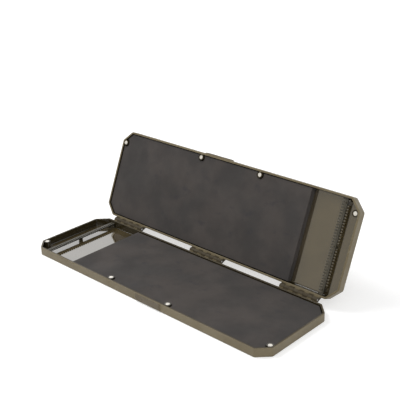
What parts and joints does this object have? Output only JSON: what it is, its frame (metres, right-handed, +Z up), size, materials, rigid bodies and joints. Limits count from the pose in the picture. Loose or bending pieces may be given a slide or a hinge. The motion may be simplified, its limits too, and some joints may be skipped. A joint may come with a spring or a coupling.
{
  "type": "rig box",
  "caption": "Long flat fishing rig box: hinged trays with cut corners, lined with foam and held shut by magnets, each with an open end compartment and a slotted comb.",
  "frame": {"origin": "centre of the base tray's flat underside", "axes": "+X along the length to the right, +Y from the front edge to the hinge, +Z up; the lid stands open"},
  "size_m": [0.372, 0.1745, 0.1202],
  "materials": {
    "olive_plastic": "moulded olive plastic, satin to glossy",
    "comb_plastic": "moulded dark olive-grey plastic",
    "foam": "matt dark grey closed-cell foam, faintly mottled",
    "adhesive": "thin double-sided adhesive sheet",
    "nickel": "bright nickel plate",
    "pin_steel": "drawn steel"
  },
  "bodies": {
    "base": {"base_shell": "olive_plastic", "base_comb": "comb_plastic", "base_foam_pad": "foam", "base_glue_sheet": "adhesive", "base_magnet_left_end": "nickel", "base_magnet_front_left": "nickel", "base_magnet_front_right": "nickel", "base_magnet_right_end": "nickel", "hinge_pin_left": "pin_steel", "hinge_pin_middle": "pin_steel", "hinge_pin_right": "pin_steel"},
    "lid": {"lid_shell": "olive_plastic", "lid_comb": "comb_plastic", "lid_foam_pad": "foam", "lid_glue_sheet": "adhesive", "lid_magnet_left_end": "nickel", "lid_magnet_front_left": "nickel", "lid_magnet_front_right": "nickel", "lid_magnet_right_end": "nickel"}
  },
  "joints": [
    {"name": "lid_hinge", "type": "hinge", "parent": "base", "child": "lid", "pos_m": [0, 0.0606, 0.0107], "axis": [1, 0, 0], "range_deg": [0, 113]}
  ]
}
